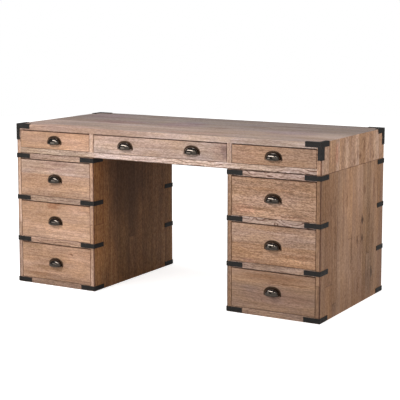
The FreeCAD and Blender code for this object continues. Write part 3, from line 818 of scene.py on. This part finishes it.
class DESK_OT_desktop(bpy.types.Operator):
    """Long oak boards on the desktop"""
    bl_idname = "desk.desktop"
    bl_label = "Desktop"

    def execute(self, context):
        finish = context.scene.desk_oak
        oak = OakBuild(
            "oak_desktop", finish, LYING, 2.0, streaks=0.25, ring_lines=0.3, wander=3.0, knots=0.06)
        oak.staves(*OTHER_TONES["desktop_front_and_rear"], finish.top_board, finish.top_length).marks("desktop")
        low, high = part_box("desktop")
        # Painted shade and sheen: the desktop turns darker and greyer towards the rear.
        rear_shade = oak.between(oak.across, low.y, high.y)
        oak.inputs["Share"] = oak.more(oak.inputs["Share"], 0.25, rear_shade)
        oak.edge(EDGE_TONES["desktop_rear"], high.y, -1.0)
        front = oak.edge(EDGE_TONES["desktop"], low.y)
        for start, full, dye in EDGE_DYES:
            oak.tint(oak.times(front, oak.between(oak.along, start, full)), dye)
        dress("desktop", oak.finished())
        return {"FINISHED"}


class DESK_OT_sides(bpy.types.Operator):
    """Upright oak staves on the sides, backs and partitions"""
    bl_idname = "desk.sides"
    bl_label = "Sides and backs"

    def execute(self, context):
        finish = context.scene.desk_oak
        kinds = {
            "frieze_sides_staves": [f"frieze_{side}_side" for side in SIDES],
            "outer_sides_staves": [f"{side}_pedestal_outer_side" for side in SIDES],
            "inner_sides_staves": [f"{side}_pedestal_inner_side" for side in SIDES],
            "partitions": [f"frieze_{side}_partition" for side in SIDES],
            "backs_staves": [f"{side}_pedestal_back" for side in SIDES] + ["frieze_back"],
        }
        seed = 31.0
        for kind, nodes in kinds.items():
            for node in nodes:
                axes = LEVEL if node == "frieze_back" else UPRIGHT_BACK if node.endswith("_back") else UPRIGHT
                inner = "inner" in node
                oak = OakBuild(
                    f"oak_{node}", finish, axes, seed, streaks=0.45 if "frieze" in node or inner else 0.3,
                    ring_lines=0.3, knots=0.14)
                width = finish.inner_board if inner else finish.side_board
                oak.staves(*OTHER_TONES[kind], width, finish.side_stave).marks(node)
                if node in EDGE_TONES:
                    self.dark_edges(oak, node)
                dress(node, oak.finished())
                seed += 3.7
        return {"FINISHED"}

    def dark_edges(self, oak, node):
        """Front edge with its own tone, a dark line down its free corner and a line of painted shadow in the top
        case's seam.
        """
        low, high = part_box(node)
        oak.edge(EDGE_TONES[node], low.y)
        free = sorted((low.x, high.x), key=abs)[0 if "inner" in node else 1]
        oak.darken(oak.times(
            oak.between(oak.gap(oak.through, free), 0.004, 0.0055, 1.0, 0.0),
            oak.between(oak.across, low.y + 0.003, low.y + 0.006, 1.0, 0.0)))
        # Painted shadow in the seam between the top case and the pedestal.
        seam = high.z if "pedestal" in node else low.z
        oak.darken(oak.line(oak.along, seam, half=0.002, strength=0.6))


class DESK_OT_rails(bpy.types.Operator):
    """Pale figured oak on the rails, with a painted shadow in the seam between the top case and the pedestals"""
    bl_idname = "desk.rails"
    bl_label = "Rails"

    def execute(self, context):
        finish = context.scene.desk_oak
        for node, grain in RAIL_GRAIN.items():
            oak = OakBuild(f"oak_{node}", finish, LEVEL, streaks=0.4, knots=0.0, **grain)
            low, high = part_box(node)
            if node == "frieze_rail":
                middle = oak.between(oak.math("ABSOLUTE", oak.along), 0.30, 0.45, 1.0, 0.0)
                oak.tones(*OTHER_TONES["frieze_rail_ends_and_middle"], middle)
                oak.inputs["Ring Lines"] = oak.between(oak.along, -0.6, 0.0, 0.4, 1.5)
                # Painted shadow in the seam along the rail's lower edge, darkened twice.
                oak.darken(oak.line(oak.across, low.z, half=0.004, strength=1.0))
                oak.tint(oak.line(oak.across, low.z, half=0.004, strength=0.7), SEAM_SHADOW)
            else:
                side = node.split("_")[0]
                lines, seam = RAIL_LINES[side]
                upward = oak.between(oak.across, 0.05, 0.60)
                oak.tones(*OTHER_TONES[f"{side}_rails_low_and_high"], upward)
                oak.inputs["Ring Lines"] = oak.between(oak.across, 0.05, 0.40, 0.4, lines)
                # Painted shadow in the seam along the top of the highest rail.
                oak.tint(oak.line(oak.across, high.z, half=0.004, strength=seam), SEAM_SHADOW)
            dress(node, oak.marks(node).finished())
        return {"FINISHED"}


class DESK_OT_drawer_fronts(bpy.types.Operator):
    """Two glued boards of level grain on every drawer front"""
    bl_idname = "desk.drawer_fronts"
    bl_label = "Drawer fronts"

    def execute(self, context):
        finish = context.scene.desk_oak
        for name, (seed, streaks, share, upper, lower) in FRONT_BOARDS.items():
            node = f"{name}_drawer_front"
            low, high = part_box(node)
            joint = low.z + share * (high.z - low.z)
            oak = OakBuild(
                f"oak_{name}_front", finish, LEVEL, seed, streaks=streaks, ring_lines=0.35, wander=3.0, knots=0.12)
            oak.two_boards(upper, lower, joint).marks(node)
            # Painted shade beside the gaps round the front, darkest under the gap above it, on top of some grime.
            oak.borders(low, high, width=0.0035, strength=0.42, top=0.8)
            dress(node, oak.finished())
        return {"FINISHED"}


class DESK_OT_inner_wood(bpy.types.Operator):
    """Pale planed wood on drawer boxes, runners, stops and hidden boards"""
    bl_idname = "desk.inner_wood"
    bl_label = "Drawer boxes and runners"

    def execute(self, context):
        finish = context.scene.desk_oak
        deep, level = (
            OakBuild(name, finish, axes, seed, streaks=0.3, ring_lines=0.3, knots=0.04)
            .tones((0.8, 1.1), (0.6, 1.2), 0.5).finished()
            for name, axes, seed in (("planed_deep", DEEP, 95.0), ("planed_level", LEVEL, 91.0)))
        for node in [f"{name}_drawer_box" for name in DRAWERS] + ["frieze_runners"]:
            dress(node, deep)
        for node in ("drawer_stops", "frieze_bottom_board"):
            dress(node, level)
        for side in SIDES:
            dress(f"{side}_pedestal_runners", deep)
            dress(f"{side}_pedestal_top_board", level)
            dress(f"{side}_pedestal_bottom_board", level)
        return {"FINISHED"}


class DESK_OT_straps(bpy.types.Operator):
    """Blackened steel on the straps and corner brackets, with their screws, and zinc on the hidden bolts"""
    bl_idname = "desk.straps"
    bl_label = "Straps and brackets"

    def execute(self, context):
        metal = context.scene.desk_metal
        black = metal_material(
            "black_steel", metal.black, seed=4.0, rough=(0.42, 0.58), lift=1.8, metallic=0.0, specular=0.25)
        zinc = metal_material("zinc", metal.zinc, seed=6.0, rough=(0.28, 0.42), lift=0.8)
        for side in SIDES:
            for node in (f"{side}_pedestal_straps", f"front_{side}_bracket", f"rear_{side}_bracket"):
                dress(node, black)
        dress("connecting_bolts", zinc)
        places, facings = self.screw_places()
        turns = SLOT_TURN * np.arange(len(places))
        heads = screw_heads(places, facings, metal.screw_radius, STRAP_HEAD, turns)
        new_piece("strap_screws", [(head, True, black) for head in heads], "carcass")
        return {"FINISHED"}

    def screw_places(self):
        """Two screws on each arm of each strap, on the strap's middle line, and the way they face."""
        places, facings = [], []
        for side in SIDES:
            low, high = (np.array(corner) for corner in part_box(f"{side}_pedestal_straps"))
            levels = np.linspace(low[2] + STRAP_HALF, high[2] - STRAP_HALF, 4)
            arm, level = (grid.ravel() for grid in np.meshgrid(STRAP_SCREWS, levels))
            for x, inward in ((low[0], 1), (high[0], -1)):
                for y, back in ((low[1], 1), (high[1], -1)):
                    fronts = np.stack([x + inward * arm, np.full_like(arm, y), level], -1)
                    flanks = np.stack([np.full_like(arm, x), y + back * arm, level], -1)
                    places += [fronts, flanks]
                    facings += [np.tile(facing, (len(arm), 1)) for facing in ((0, -back, 0), (-inward, 0, 0))]
        return np.concatenate(places), np.concatenate(facings)


class DESK_OT_pulls(bpy.types.Operator):
    """Smooth cup pulls in dark bronze"""
    bl_idname = "desk.pulls"
    bl_label = "Cup pulls"
    PLAN = 2.6
    SHOULDER = 2.3

    def execute(self, context):
        metal = context.scene.desk_metal
        dome = metal_material("dark_bronze", metal.bronze, seed=9.0, rough=(0.08, 0.12), lift=1.4, coat=0.75)
        rim = metal_material("rim_bronze", metal.rim_bronze, seed=12.0, rough=(0.30, 0.42), lift=1.5)
        low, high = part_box("left_top_drawer_pull")
        half = (high.x - low.x) / 2
        cup = self.cup(metal, dome, rim)
        for name in DRAWERS:
            node = f"{name}_drawer_pull"
            low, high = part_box(node)
            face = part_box(f"{name}_drawer_front")[0].y
            middles = [low.x + half] if name != "frieze_middle" else [low.x + half, high.x - half]
            surfaces = [(grid + np.array([x, face, low.z + metal.ear_radius]), closed, material)
                        for x in middles for grid, closed, material in cup]
            pull = new_piece(f"{name}_cup_pull", surfaces, f"{name}_drawer")
            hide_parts(node)
        return {"FINISHED"}

    def cup(self, metal, dome, rim):
        """Grids of one pull round the middle of its lip: outer and inner dome, lip bead, rim and screws."""
        size = np.array([metal.cup_half, metal.cup_reach, metal.cup_height])
        outer = self.dome(size, metal.lip_drop)
        inner = self.dome(size - metal.cup_wall, metal.lip_drop)[::-1]
        lip = np.stack([outer[0], inner[-1]])
        bead = self.tube((outer[0] + inner[-1]) / 2, 0.55 * metal.cup_wall)
        heads = screw_heads(
            [(x, -0.92 * metal.rim_thickness, -0.0004) for x in (-PULL_SCREW, PULL_SCREW)], [(0, -1, 0)] * 2,
            *PULL_HEAD, [0.5, 2.1])
        return [(outer, False, dome), (inner, False, dome), (lip, False, dome), (bead, True, dome),
                (self.rim(metal), True, rim)] + [(head, True, rim) for head in heads]

    def dome(self, size, drop):
        """Half of a squarish ellipsoid: at azimuth a from 0 to pi and height angle b it is (-A C(a) C(b),
        -R S(a) C(b), H S(b)), where |C|^n + |S|^n = 1 is a superellipse with n = PLAN in plan and SHOULDER in
        height, and b runs from the lip, which hangs by drop * sin a, to a right angle at the top."""
        a = np.linspace(0.0, np.pi, 41)
        across, out = squarish(a, self.PLAN)
        lip = -np.arcsin((drop * np.sin(a).clip(0.0) / size[2]) ** (self.SHOULDER / 2))
        b = lip + (np.pi / 2 - lip) * np.linspace(0.0, 1.0, 21)[:, None]
        wide, high = squarish(b, self.SHOULDER)
        return np.stack([-size[0] * across * wide, -size[1] * out * wide, size[2] * high], -1)

    def tube(self, path, radius):
        """Round bar along a path: the path plus radius * (side cos c + up sin c), tapered to its ends."""
        ahead = unit(np.gradient(path, axis=0))
        up = unit(UP - ahead * ahead[:, 2:])
        side = np.cross(ahead, up)
        c = around(12)
        t = np.linspace(-1.0, 1.0, len(path))
        thick = radius * np.sqrt(np.clip(1 - np.abs(t) ** 40, 0.0, 1.0))
        ring = side[:, None] * np.cos(c)[None, :, None] + up[:, None] * np.sin(c)[None, :, None]
        return path[:, None] + thick[:, None, None] * ring

    def rim(self, metal):
        """Flat band round the cup: its middle line is half of the dome's outline that runs on a little below
        the lip's ends, and its section is a superellipse |u|^4 + |v|^4 = 1 that closes in a round foot at both
        ends."""
        reach = 0.135
        s = np.pi / 2 + (np.pi / 2 + reach) * np.sin(np.linspace(-np.pi / 2, np.pi / 2, 61))
        wide = np.array([metal.cup_half, metal.cup_height]) + metal.rim_width / 2
        line = np.stack(squarish(s, self.SHOULDER), -1) * wide
        ahead = np.gradient(line, axis=0)
        normal = unit(np.stack([ahead[:, 1], -ahead[:, 0]], -1))
        over = np.clip((np.abs(s - np.pi / 2) - np.pi / 2 + 0.02) / (reach + 0.02), 0.0, 1.0)
        end = np.sqrt(1 - over ** 2)
        u, v = squarish(around(20), 4.0)
        width = 0.5 * metal.rim_width * end[:, None] * u
        depth = 0.5 * metal.rim_thickness * (end[:, None] * v + 0.9)
        return np.stack([
            line[:, :1] + normal[:, :1] * width, -depth, line[:, 1:] + normal[:, 1:] * width], -1)


def lamp(name, place, target, size, power):
    """Rectangular soft lamp that looks at a point and is not seen itself."""
    data = bpy.data.lights.new(name, "AREA")
    data.shape = "RECTANGLE"
    data.size, data.size_y = size
    data.energy = power
    made = new_object(name, data)
    made.location = place
    towards = np.subtract(target, place)
    flat = math.hypot(towards[0], towards[1])
    made.rotation_euler = (math.atan2(flat, -towards[2]), 0.0, math.atan2(-towards[0], towards[1]))
    made.visible_camera = False


class DESK_OT_studio(bpy.types.Operator):
    """White floor and world, soft lamps and the camera"""
    bl_idname = "desk.studio"
    bl_label = "Studio"
    FLOOR_RADIUS = 9.0

    def execute(self, context):
        scene = context.scene
        setup = scene.desk_studio
        scene.view_settings.view_transform = "Standard"
        self.floor()
        self.world(scene, setup.ambient)
        for name, (place, target, size) in LAMPS.items():
            lamp(f"{name}_lamp", place, target, size, getattr(setup, f"{name}_power"))
        self.camera(scene, setup)
        return {"FINISHED"}

    def floor(self):
        """Disc: radius r from the innermost ring to the rim and angle a round it give (r cos a, r sin a, 0)."""
        rings, spokes = 24, 96
        radius = self.FLOOR_RADIUS * np.linspace(0.0, 1.0, rings + 1)[1:] ** 2
        r, a = np.meshgrid(radius, around(spokes), indexing="ij")
        points = np.stack([r * np.cos(a), r * np.sin(a), np.zeros_like(r)], -1)
        mesh = bpy.data.meshes.new("floor")
        mesh.from_pydata(
            points.reshape(-1, 3).tolist(), [],
            grid_quads(rings, spokes, True).tolist() + [list(range(spokes))])
        mesh.materials.append(self.floor_material())
        return new_object("floor", mesh)

    def floor_material(self):
        """Pale paper that keeps the desk's shadow near it and fades into the white world further out."""
        material, wiring, shader = new_material("studio_floor")
        here = wiring.here()
        away = wiring.node("ShaderNodeVectorMath", {0: here}, operation="LENGTH").outputs["Value"]
        fibre = wiring.between(wiring.noise(wiring.scale(here, 60.0), 3.0), 0.3, 0.7)
        glow = wiring.between(away, 1.0, 2.6, 0.70, 1.0)
        seen = wiring.node("ShaderNodeLightPath").outputs["Is Camera Ray"]
        wiring.fill(shader, {
            "Base Color": wiring.blend(fibre, (0.78, 0.78, 0.78), (0.82, 0.82, 0.82)),
            "Roughness": wiring.between(fibre, 0.0, 1.0, 0.8, 0.9), "Specular IOR Level": 0.0,
            "Emission Color": WHITE, "Emission Strength": wiring.times(glow, seen)})
        return material

    def world(self, scene, ambient):
        """White where the camera sees it, greyer in reflections and a plain soft light elsewhere."""
        world = bpy.data.worlds.new("studio_world")
        world.use_nodes = True
        world.node_tree.nodes.clear()
        wiring = Wiring(world.node_tree)
        path = wiring.node("ShaderNodeLightPath").outputs
        mirrored = wiring.more(path["Is Glossy Ray"], MIRRORED_SKY - ambient, ambient)
        strength = wiring.more(path["Is Camera Ray"], 1.0 - ambient, mirrored)
        sky = wiring.node("ShaderNodeBackground", {"Color": WHITE, "Strength": strength})
        wiring.node("ShaderNodeOutputWorld", {"Surface": sky.outputs[0]})
        scene.world = world

    def camera(self, scene, setup):
        """Camera at the photograph's viewing angle."""
        data = bpy.data.cameras.new("photo_camera")
        data.sensor_width = 36.0
        data.lens = setup.lens
        data.shift_y = setup.shift
        camera = new_object("photo_camera", data)
        camera.location = setup.camera_place
        camera.rotation_euler = (math.pi / 2 - setup.camera_dip, 0.0, setup.camera_turn)
        scene.camera = camera


OPERATORS = (
    DESK_OT_desktop, DESK_OT_sides, DESK_OT_rails, DESK_OT_drawer_fronts, DESK_OT_inner_wood,
    DESK_OT_straps, DESK_OT_pulls, DESK_OT_studio,
)


class DESK_PT_finish(bpy.types.Panel):
    """Settings and steps of the desk's finish"""
    bl_idname = "DESK_PT_finish"
    bl_label = "Campaign desk"
    bl_space_type = "VIEW_3D"
    bl_region_type = "UI"
    bl_category = "Desk"

    def draw(self, context):
        for settings in (context.scene.desk_oak, context.scene.desk_metal, context.scene.desk_studio):
            for name in settings.__annotations__:
                self.layout.prop(settings, name)
        for operator in OPERATORS:
            self.layout.operator(operator.bl_idname)


SETTINGS = {"desk_oak": OakFinish, "desk_metal": MetalFinish, "desk_studio": StudioSetup}


def register():
    for item in (*SETTINGS.values(), *OPERATORS, DESK_PT_finish):
        bpy.utils.register_class(item)
    for name, kind in SETTINGS.items():
        setattr(bpy.types.Scene, name, PointerProperty(type=kind))


def unregister():
    for name in SETTINGS:
        delattr(bpy.types.Scene, name)
    for item in (DESK_PT_finish, *reversed(OPERATORS), *SETTINGS.values()):
        bpy.utils.unregister_class(item)


def main():
    register()
    for operator in OPERATORS:
        family, name = operator.bl_idname.split(".")
        getattr(getattr(bpy.ops, family), name)()


if __name__ == "__main__":
    main()
